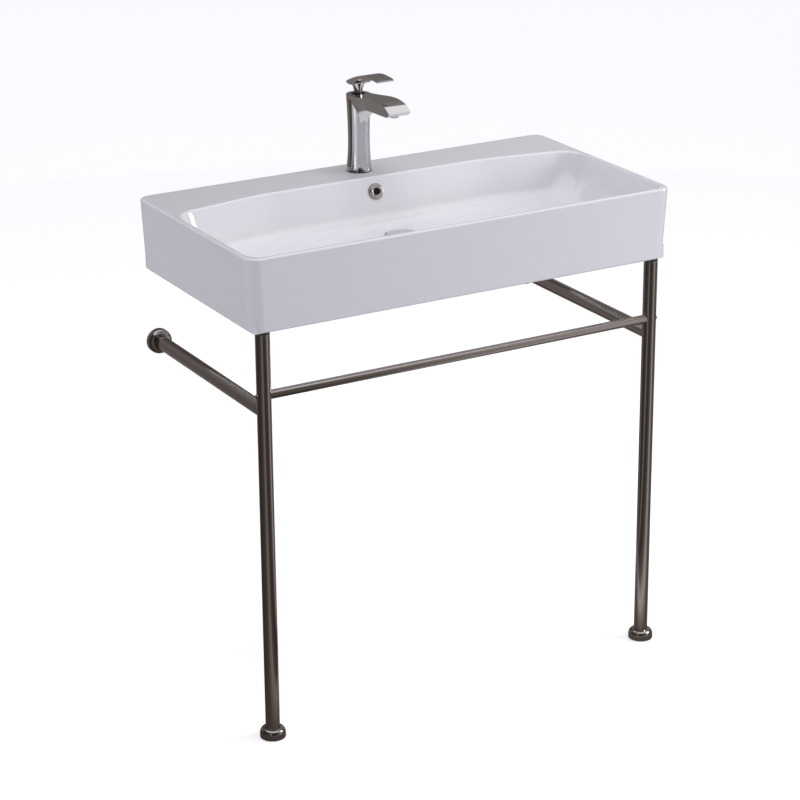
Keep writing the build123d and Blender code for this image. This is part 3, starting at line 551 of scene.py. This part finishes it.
# Frame tubes. Bright-polished stainless tube: two front legs, a thinner crossbar between them, and a rail from
# the back of each leg to the wall. The ends that meet a leg are coped to its round.
polished = material(
    "polished_steel", (0.48, 0.44, 0.42), 0.10, metal=1.0, tint=(0.42, 0.385, 0.365),
    patches=9.0, grain=0.02, grain_scale=700.0,
)
leg_radius = (leg_high.x - leg_low.x) / 2
leg_wall = 0.0012
leg_bore = leg_radius - leg_wall
crossbar_wall = 0.001
bar_low, bar_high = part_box("crossbar")
bar_radius = (bar_high.z - bar_low.z) / 2
bar_z = (bar_high.z + bar_low.z) / 2
rail_low, rail_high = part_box("rail_right")
rail_z = (rail_low.z + rail_high.z) / 2
seat_gap = 0.0001
post_radius = leg_radius + seat_gap


def coped_tube(length, outer, inner, post, ends, name, place, sides=96):
    """Tube along +X from 0 to a length, its chosen ends coped to an upright post of the given radius."""
    rings = []
    stations = [(outer, 0.0), (outer, 1.0), (inner, 1.0), (inner, 0.0)]
    for radius, end in stations:
        ring = []
        for step in range(sides):
            angle = 2 * pi * step / sides
            y, z = radius * cos(angle), radius * sin(angle)
            x = length * end
            if end in ends:
                cope = sqrt(max(0.0, post ** 2 - y ** 2))
                x += cope if end == 0.0 else -cope
            ring.append(place @ Vector((x, y, z)))
        rings.append(ring)
    return rings_to_mesh(rings, name, closed=True)


for side, word in ((-1, "left"), (1, "right")):
    profile = [(leg_bore, leg_low.z), (leg_radius, leg_low.z), (leg_radius, leg_high.z), (leg_bore, leg_high.z)]
    leg = lathe(profile, "leg_%s_tube" % word, 128, Matrix.Translation((side * leg_x, leg_y, 0)))
    smooth(leg)
    dress(leg, polished, "body", "frame_steel", "leg_" + word)
    rail_place = Matrix.Translation((side * leg_x, leg_y, rail_z)) @ Matrix.Rotation(radians(90), 4, "Z")
    rail_length = rail_high.y - leg_y
    rail_name = "rail_%s_tube" % word
    rail = coped_tube(rail_length, leg_radius, leg_bore, post_radius, (0.0,), rail_name, rail_place, 128)
    smooth(rail)
    dress(rail, polished, "body", "frame_steel", "rail_" + word)
bar_place = Matrix.Translation((-leg_x, leg_y, bar_z))
bar_bore = bar_radius - crossbar_wall
bar = coped_tube(2 * leg_x, bar_radius, bar_bore, post_radius, (0.0, 1.0), "crossbar_tube", bar_place)
smooth(bar)
dress(bar, polished, "body", "frame_steel", "crossbar")


# Flange covers and crossbar screws. Four spun domed covers slide along the tubes over their plates, and two
# button-head screws hold the crossbar. One of each is made and then repeated by a node tree.
def repeated(base, places, name, mat):
    """Copies of a piece at a list of (place, turn), made by a node tree on a mesh of points.

    The piece and the finish are the tree's inputs, and the piece itself is used up.
    """
    tree = bpy.data.node_groups.new(name + "_repeat", "GeometryNodeTree")
    tree.interface.new_socket("Places", in_out="INPUT", socket_type="NodeSocketGeometry")
    piece_input = tree.interface.new_socket("Piece", in_out="INPUT", socket_type="NodeSocketObject")
    finish_input = tree.interface.new_socket("Finish", in_out="INPUT", socket_type="NodeSocketMaterial")
    tree.interface.new_socket("Pieces", in_out="OUTPUT", socket_type="NodeSocketGeometry")
    source = tree.nodes.new("NodeGroupInput")
    result = tree.nodes.new("NodeGroupOutput")
    piece = tree.nodes.new("GeometryNodeObjectInfo")
    turn = tree.nodes.new("GeometryNodeInputNamedAttribute")
    turn.data_type = "FLOAT_VECTOR"
    turn.inputs["Name"].default_value = "turn"
    to_rotation = tree.nodes.new("FunctionNodeEulerToRotation")
    put = tree.nodes.new("GeometryNodeInstanceOnPoints")
    realize = tree.nodes.new("GeometryNodeRealizeInstances")
    paint = tree.nodes.new("GeometryNodeSetMaterial")
    tree.links.new(source.outputs["Places"], put.inputs["Points"])
    tree.links.new(source.outputs["Piece"], piece.inputs["Object"])
    tree.links.new(piece.outputs["Geometry"], put.inputs["Instance"])
    tree.links.new(turn.outputs["Attribute"], to_rotation.inputs["Euler"])
    tree.links.new(to_rotation.outputs["Rotation"], put.inputs["Rotation"])
    tree.links.new(put.outputs["Instances"], realize.inputs["Geometry"])
    tree.links.new(realize.outputs["Geometry"], paint.inputs["Geometry"])
    tree.links.new(source.outputs["Finish"], paint.inputs["Material"])
    tree.links.new(paint.outputs["Geometry"], result.inputs["Pieces"])
    points = bpy.data.meshes.new(name)
    points.from_pydata([place for place, _ in places], [], [])
    turns = points.attributes.new("turn", "FLOAT_VECTOR", "POINT")
    for i, (_, euler) in enumerate(places):
        turns.data[i].vector = euler
    obj = bpy.data.objects.new(name, points)
    bpy.context.scene.collection.objects.link(obj)
    step = obj.modifiers.new("Repeat", "NODES")
    step.node_group = tree
    step[piece_input.identifier] = base
    step[finish_input.identifier] = mat
    settle(obj)
    bpy.data.objects.remove(base)
    return obj


cover_low, cover_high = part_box("foot_cover_right")
cover_radius = (cover_high.x - cover_low.x) / 2
cover_height = cover_high.z
cover_bore = leg_radius + 0.0003
cover_wall = 0.0018
shoulder_low = 0.0085
shoulder_width = 0.0076
cover_outside = [(cover_radius - 0.001, 0.0), (cover_radius - 0.0003, 0.0005), (cover_radius, 0.0012)]
cover_inside = [(cover_radius - cover_wall, 0.0)]
for step in range(13):
    angle = radians(90 * step / 12)
    turn_in = shoulder_width * (1 - cos(angle))
    rise = (cover_height - 0.0004 - shoulder_low) * sin(angle)
    cover_outside.append((cover_radius - turn_in, shoulder_low + rise))
    cover_inside.append((cover_radius - cover_wall - turn_in, shoulder_low - cover_wall + rise))
cover_outside += [(cover_bore + 0.0006, cover_height), (cover_bore, cover_height - 0.0003)]
cover_inside.append((cover_bore, cover_height - cover_wall))
cover = lathe(cover_outside + list(reversed(cover_inside)), "cover", 96)
smooth(cover)
dark_chrome = material(
    "dark_chrome", (0.46, 0.44, 0.43), 0.07, metal=1.0, tint=(0.40, 0.38, 0.37), patches=30.0, spread=0.02
)
cover_places = [((side * leg_x, leg_y, 0.0), (0, 0, 0)) for side in (-1, 1)]
cover_places += [((side * leg_x, wall_y, rail_z), (radians(90), 0, 0)) for side in (-1, 1)]
covers = repeated(cover, cover_places, "flange_covers", dark_chrome)
cover_nodes = ("foot_cover_left", "foot_cover_right", "wall_cover_left", "wall_cover_right")
dress(covers, dark_chrome, "body", "chrome", *cover_nodes)

head_radius = 0.00475
head_height = 0.00275
head_edge = 0.0005
crown_angle = 70
screw_radius = 0.0025
screw_length = 0.037
screw_profile = [
    (0, -screw_length), (screw_radius, -screw_length), (screw_radius, 0.0), (head_radius, 0.0),
    (head_radius, head_edge),
]
for step in range(1, 8):
    angle = radians(crown_angle * step / 7)
    rise = (head_height - head_edge) * sin(angle) / sin(radians(crown_angle))
    screw_profile.append((head_radius * (0.42 + 0.58 * cos(angle)), head_edge + rise))
screw_profile.append((0, head_height))
screw = lathe(screw_profile, "screw", 48)
key = rod(0.00173, 0.0012, 0.004, "key", 6)
combine(screw, [key], "DIFFERENCE")
smooth(screw)
screw_places = [((side * (leg_x + leg_radius), leg_y, bar_z), (0, radians(90) * side, 0)) for side in (-1, 1)]
screws = repeated(screw, screw_places, "crossbar_screw_heads", dark_chrome)
dress(screws, dark_chrome, "body", "chrome", "crossbar_screws")


# Tap body. Cast and chromed brass: a turned column with a flared foot and head, and a flat blade spout over an
# arched underside, drilled for the cartridge and the aerator.
base_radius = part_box("tap_body")[1].y - tap_y
waist_radius = 0.0198
head_radius_tap = 0.0224
waist_height = 0.058
head_height_tap = 0.144
foot = tap_high.z - rim_z
spout_half = 0.022
spout_reach = 0.152
edge_round = 0.0016
taper_low = 0.094
taper_high = 0.130
taper_share = 0.34
chamber = 0.0133
aerator_bore = 0.0081
aerator_y = -spout_reach + 0.020


def curve_through(points, steps):
    """Smooth run of points through the given ones (Catmull-Rom)."""
    points = [Vector(p) for p in points]
    ends = [points[0] * 2 - points[1]] + points + [points[-1] * 2 - points[-2]]
    run = []
    for a, b, c, d in zip(ends, ends[1:], ends[2:], ends[3:]):
        for step in range(steps):
            t = step / steps
            bend = (2 * a - 5 * b + 4 * c - d) * t ** 2
            run.append(0.5 * (2 * b + (c - a) * t + bend + (3 * b - a - 3 * c + d) * t ** 3))
    run.append(points[-1])
    return [tuple(p) for p in run]


def taper_foot(obj):
    """Narrows the lower end of the spout towards the middle, so that its foot stays inside the column."""
    mesh = bmesh.new()
    mesh.from_mesh(obj.data)
    bmesh.ops.triangulate(mesh, faces=mesh.faces[:])
    for vert in mesh.verts:
        rise = min(1.0, max(0.0, (vert.co.z - rim_z - taper_low) / (taper_high - taper_low)))
        vert.co.x *= taper_share + (1 - taper_share) * rise * rise * (3 - 2 * rise)
    mesh.to_mesh(obj.data)
    mesh.free()


column = [(0.0, foot), (base_radius - 0.0006, foot), (base_radius, foot + 0.0006)]
for step in range(1, 25):
    share = 1 - step / 24
    radius = waist_radius + (base_radius - waist_radius) * share ** 2
    column.append((radius, waist_height - (waist_height - foot) * share))
for step in range(1, 25):
    share = step / 24
    radius = waist_radius + (head_radius_tap - waist_radius) * share ** 2
    column.append((radius, waist_height + (head_height_tap - 0.0008 - waist_height) * share))
column += [
    (head_radius_tap - 0.0003, head_height_tap - 0.0002), (head_radius_tap - 0.0009, head_height_tap),
    (0.0, head_height_tap),
]
tap_body = lathe(column, "tap_body_chromed", 128, tap_place)
crown = curve_through([
    (-0.016, 0.1446), (-0.040, 0.1475), (-0.062, 0.1505), (-0.082, 0.1530), (-0.100, 0.1540), (-0.116, 0.1535),
    (-0.128, 0.1515), (-0.137, 0.1490), (-0.1455, 0.1442), (-spout_reach, 0.140),
], 5)
arch = curve_through([
    (-spout_reach + 0.001, 0.1374), (-spout_reach + 0.009, 0.1326), (-0.120, 0.1316), (-0.100, 0.1312),
    (-0.080, 0.1305), (-0.062, 0.1284), (-0.046, 0.1240), (-0.032, 0.1170), (-0.0235, 0.1060), (-0.0185, 0.092),
], 5)
spout_side = [(0.0, head_height_tap)] + crown + arch + [(0.0, 0.092)]
spout = bar_across(spout_side, spout_half, "spout", edge_round, 4, tap_place)
taper_foot(spout)
combine(tap_body, [spout], "UNION")
bores = [
    rod(chamber, 0.098, 0.17, "bore", 64, tap_place),
    rod(aerator_bore, 0.12, 0.139, "bore", 48, tap_place @ Matrix.Translation((0, aerator_y, 0))),
]
combine(tap_body, bores, "DIFFERENCE")
smooth(tap_body, 34)
dress(tap_body, chrome, "body", "chrome", "tap_body")


# Aerator. An insert moulded in pale nylon, with five slots that the water leaves by, screwed in under the
# spout's tip.
aerator_low, aerator_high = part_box("tap_aerator")
aerator_place = Matrix.Translation((0, tap_y + aerator_y, 0))
aerator_radius = 0.008
aerator_edge = 0.0004
aerator_bottom = aerator_low.z
aerator_face = aerator_bottom + 0.002
rim_inside = aerator_radius - 0.0016
slot_half_width = 0.0006
slot_half_length = 0.0048
slot_top = aerator_bottom + 0.0045
aerator_profile = [
    (0, aerator_face), (rim_inside, aerator_face), (rim_inside, aerator_bottom), (0.0076, aerator_bottom),
    (aerator_radius, aerator_bottom + aerator_edge), (aerator_radius, aerator_high.z), (0, aerator_high.z),
]
aerator = lathe(aerator_profile, "aerator_insert", 64, aerator_place)
slots = [
    block((x - slot_half_width, -slot_half_length, aerator_bottom), (x + slot_half_width, slot_half_length, slot_top))
    for x in (-0.0048, -0.0024, 0, 0.0024, 0.0048)
]
for cut in slots:
    cut.data.transform(aerator_place)
combine(aerator, slots, "DIFFERENCE")
smooth(aerator)
pale_nylon = material("pale_nylon", (0.62, 0.62, 0.60), 0.45, patches=40.0, grain=0.15, grain_scale=1500.0)
dress(aerator, pale_nylon, "body", "pale_nylon", "tap_aerator")


# Lever. Chromed brass casting: a trumpet stem that grips the cartridge stem, flaring under a thin flat paddle
# that rises towards its tip.
pivot_height = 0.134
lever_length = 0.102
lever_half = 0.017
stem_radius = 0.007
stem_low = pivot_height + 0.0054
stem_high = 0.170
stem_chamfer = 0.0004
flare = lever_half - 0.001 - stem_radius
stem_edge = [
    (0.0, stem_low), (stem_radius - stem_chamfer, stem_low), (stem_radius, stem_low + stem_chamfer),
]
for step in range(1, 25):
    share = step / 24
    height = stem_low + stem_chamfer + (stem_high - stem_low - stem_chamfer) * share
    stem_edge.append((stem_radius + flare * share ** 2.2, height))
stem_edge.append((0.0, stem_high + 0.006))
lever = lathe(stem_edge, "tap_lever_chromed", 96, tap_place)
above = curve_through([
    (0.016, 0.1655), (0.008, 0.1700), (0.0, 0.1735), (-0.016, 0.1797), (-0.032, 0.1850), (-0.048, 0.1890),
    (-0.064, 0.1910), (-0.083, 0.1905), (-lever_length, 0.1890),
], 5)
below = curve_through([
    (-lever_length + 0.0008, 0.1856), (-0.083, 0.1868), (-0.064, 0.1860), (-0.048, 0.1835), (-0.036, 0.1795),
    (-0.024, 0.1735), (-0.014, 0.1660),
], 5)
paddle_side = above + below + [(0.0, 0.1620), (0.013, 0.1630)]
paddle = bar_across(paddle_side, lever_half, "paddle", 0.0009, 3, tap_place)
combine(lever, [paddle], "UNION")
trim = block((-0.03, tap_y + 0.0168, rim_z + 0.15), (0.03, tap_y + 0.03, rim_z + 0.19))
hole_place = tap_place @ Matrix.Translation((0, 0, pivot_height + 0.018)) @ Matrix.Rotation(radians(-90), 4, "X")
hole = rod(0.0021, 0.002, 0.03, "hole", 32, hole_place)
combine(lever, [trim, hole], "DIFFERENCE")
smooth(lever, 34)
dress(lever, chrome, "lever", "chrome", "tap_lever")


# Fittings and seals that keep their CAD form. The cartridge is moulded nylon, brass and two ceramic discs, the
# seals and the tap's base ring are moulded rubber, and the plugs, plates, studs and nuts are turned or pressed.
# Each node gets the finish of the material that its record names.
rubber = material("black_rubber", (0.022, 0.022, 0.023), 0.55, patches=60.0, grain=0.25, grain_scale=900.0)
brass = material("raw_brass", (0.62, 0.46, 0.20), 0.32, metal=1.0, patches=60.0, grain=0.1, grain_scale=1200.0)
plain_steel = material(
    "plain_steel", (0.42, 0.42, 0.43), 0.34, metal=1.0, patches=50.0, grain=0.1, grain_scale=1500.0
)
dark_nylon = material("dark_nylon", (0.03, 0.03, 0.033), 0.42, patches=50.0, grain=0.15, grain_scale=1500.0)
alumina = material("alumina", (0.78, 0.76, 0.72), 0.30, patches=60.0, grain=0.05, grain_scale=2000.0)
finishes = {
    "raw_brass": brass, "plain_steel": plain_steel, "dark_nylon": dark_nylon, "alumina": alumina,
    "pale_nylon": pale_nylon, "chrome": chrome, "black_rubber": rubber, "frame_steel": polished,
    "white_glaze": glaze,
}
for part in frame["record"]["subparts"]:
    node = frame["nodes"][part["node"]]
    node.data.materials.clear()
    node.data.materials.append(finishes[part["material_slot"]])


# Studio. A pale floor, a white backdrop seen by the camera, soft lamps, and a dark room and a black card that
# only show in reflections.
floor = block((-6, -6, -0.02), (6, 6, 0.0), "floor")
floor_mat = bpy.data.materials.new("pale_floor")
floor_mat.use_nodes = True
floor_nodes, floor_links = floor_mat.node_tree.nodes, floor_mat.node_tree.links
floor_shader = floor_nodes["Principled BSDF"]
floor_shader.inputs["Base Color"].default_value = (0.9, 0.9, 0.9, 1)
floor_shader.inputs["Roughness"].default_value = 0.9
floor_path = floor_nodes.new("ShaderNodeLightPath")
floor_seen = floor_nodes.new("ShaderNodeMath")
floor_seen.operation = "MAXIMUM"
floor_links.new(floor_path.outputs["Is Camera Ray"], floor_seen.inputs[0])
floor_links.new(floor_path.outputs["Is Glossy Ray"], floor_seen.inputs[1])
floor_lift = floor_nodes.new("ShaderNodeMath")
floor_lift.operation = "MULTIPLY"
floor_lift.inputs[1].default_value = 0.45
floor_links.new(floor_seen.outputs[0], floor_lift.inputs[0])
floor_glow = floor_nodes.new("ShaderNodeEmission")
floor_links.new(floor_lift.outputs[0], floor_glow.inputs["Strength"])
floor_sum = floor_nodes.new("ShaderNodeAddShader")
floor_links.new(floor_shader.outputs[0], floor_sum.inputs[0])
floor_links.new(floor_glow.outputs[0], floor_sum.inputs[1])
floor_links.new(floor_sum.outputs[0], floor_nodes["Material Output"].inputs["Surface"])
floor.data.materials.append(floor_mat)

world = bpy.data.worlds.new("studio")
bpy.context.scene.world = world
world.use_nodes = True
w_nodes, w_links = world.node_tree.nodes, world.node_tree.links
sky = w_nodes["Background"]
sky.inputs["Color"].default_value = (0.90, 0.89, 1.0, 1)
sky.inputs["Strength"].default_value = 0.59
white = w_nodes.new("ShaderNodeBackground")
white.inputs["Color"].default_value = (1, 1, 1, 1)
path = w_nodes.new("ShaderNodeLightPath")
either = w_nodes.new("ShaderNodeMath")
either.operation = "MAXIMUM"
w_links.new(path.outputs["Is Camera Ray"], either.inputs[0])
w_links.new(path.outputs["Is Glossy Ray"], either.inputs[1])
pick = w_nodes.new("ShaderNodeMixShader")
w_links.new(either.outputs[0], pick.inputs["Fac"])
w_links.new(sky.outputs[0], pick.inputs[1])
w_links.new(white.outputs[0], pick.inputs[2])
w_links.new(pick.outputs[0], w_nodes["World Output"].inputs["Surface"])



def only_in_polish(obj):
    """Hides a piece of the studio from everything but reflections."""
    obj.visible_camera = False
    obj.visible_diffuse = False
    obj.visible_shadow = False
    obj.visible_transmission = False


room_radius = 3.4
room_outside = 3.41
room_height = 4.5
room_profile = [
    (0.0, 0.001), (room_radius, 0.001), (room_radius, room_height), (room_outside, room_height),
    (room_outside, -0.001), (0.0, -0.001),
]
room = lathe(room_profile, "dark_room", 64)
room_mat = bpy.data.materials.new("dark_room")
room_mat.use_nodes = True
r_nodes, r_links = room_mat.node_tree.nodes, room_mat.node_tree.links
r_nodes.remove(r_nodes["Principled BSDF"])
where = r_nodes.new("ShaderNodeTexCoord")
split = r_nodes.new("ShaderNodeSeparateXYZ")
r_links.new(where.outputs["Object"], split.inputs[0])
turn = r_nodes.new("ShaderNodeMath")
turn.operation = "ARCTAN2"
r_links.new(split.outputs["Y"], turn.inputs[0])
r_links.new(split.outputs["X"], turn.inputs[1])
share = r_nodes.new("ShaderNodeMapRange")
share.inputs["From Min"].default_value = -pi
share.inputs["From Max"].default_value = pi
r_links.new(turn.outputs[0], share.inputs["Value"])
bands = r_nodes.new("ShaderNodeValToRGB")
stops = [
    (0.00, (0.06, 0.05, 0.045)), (0.08, (0.10, 0.085, 0.08)), (0.14, (0.30, 0.28, 0.27)),
    (0.17, (0.10, 0.085, 0.075)), (0.24, (0.06, 0.048, 0.042)), (0.31, (0.16, 0.14, 0.13)),
    (0.36, (0.60, 0.58, 0.58)), (0.41, (0.14, 0.12, 0.11)), (0.52, (0.20, 0.18, 0.17)),
    (0.62, (0.34, 0.32, 0.31)), (0.70, (0.08, 0.066, 0.06)), (0.82, (0.24, 0.22, 0.21)),
    (0.90, (0.07, 0.058, 0.05)),
]
ramp = bands.color_ramp
ramp.elements[0].position, ramp.elements[0].color = stops[0][0], (*stops[0][1], 1)
ramp.elements[1].position, ramp.elements[1].color = 1.0, (*stops[0][1], 1)
for position, colour in stops[1:]:
    stop = ramp.elements.new(position)
    stop.color = (*colour, 1)
r_links.new(share.outputs[0], bands.inputs[0])
glow = r_nodes.new("ShaderNodeEmission")
r_links.new(bands.outputs[0], glow.inputs["Color"])
r_links.new(glow.outputs[0], r_nodes["Material Output"].inputs["Surface"])
room.data.materials.append(room_mat)
only_in_polish(room)

card = block((-0.45, 2.6, 0.25), (0.45, 2.62, 2.6), "black_card")
card.data.transform(Matrix.Rotation(radians(150.1), 4, "Z"))
card_mat = bpy.data.materials.new("black_card")
card_mat.use_nodes = True
card_shader = card_mat.node_tree.nodes["Principled BSDF"]
card_shader.inputs["Base Color"].default_value = (0.004, 0.004, 0.004, 1)
card_shader.inputs["Roughness"].default_value = 1.0
card.data.materials.append(card_mat)
only_in_polish(card)


def soft_lamp(name, place, aim, size, power, colour=(1, 1, 1)):
    """Large square lamp aimed at a point."""
    data = bpy.data.lights.new(name, "AREA")
    data.size = size
    data.energy = power
    data.color = colour
    obj = bpy.data.objects.new(name, data)
    obj.location = place
    obj.rotation_euler = (Vector(aim) - Vector(place)).to_track_quat("-Z", "Y").to_euler()
    obj.visible_camera = False
    bpy.context.scene.collection.objects.link(obj)
    return obj


soft_lamp("key", (1.9, -0.97, 1.43), (0.2, -0.05, 0.82), 0.8, 17, (1.0, 0.985, 0.965))
soft_lamp("top", (0.0, -0.25, 2.8), (0, 0.05, 0.8), 1.2, 15).visible_glossy = False
soft_lamp("fill", (-2.4, 0.9, 0.9), (-0.4, 0.1, 0.8), 1.0, 6).visible_glossy = False

camera_place = Vector((-2.2285, -3.8815, 2.1775))
focal_pixels = 2603.5
image_pixels = 800
yaw, pitch, roll = radians(-29.69), radians(20.61), radians(-0.42)
forward = Vector((-sin(yaw) * cos(pitch), cos(yaw) * cos(pitch), -sin(pitch)))
level = Vector((cos(yaw), sin(yaw), 0))
up = level.cross(forward)
right = level * cos(roll) + up * sin(roll)
up = up * cos(roll) - level * sin(roll)
lens = bpy.data.cameras.new("camera")
lens.sensor_width = 36.0
lens.lens = focal_pixels / image_pixels * lens.sensor_width
lens.clip_start, lens.clip_end = 0.1, 60
camera = bpy.data.objects.new("camera", lens)
camera.matrix_world = Matrix.Translation(camera_place) @ Matrix((right, up, -forward)).transposed().to_4x4()
bpy.context.scene.collection.objects.link(camera)
bpy.context.scene.camera = camera
bpy.context.scene.view_settings.view_transform = "Standard"
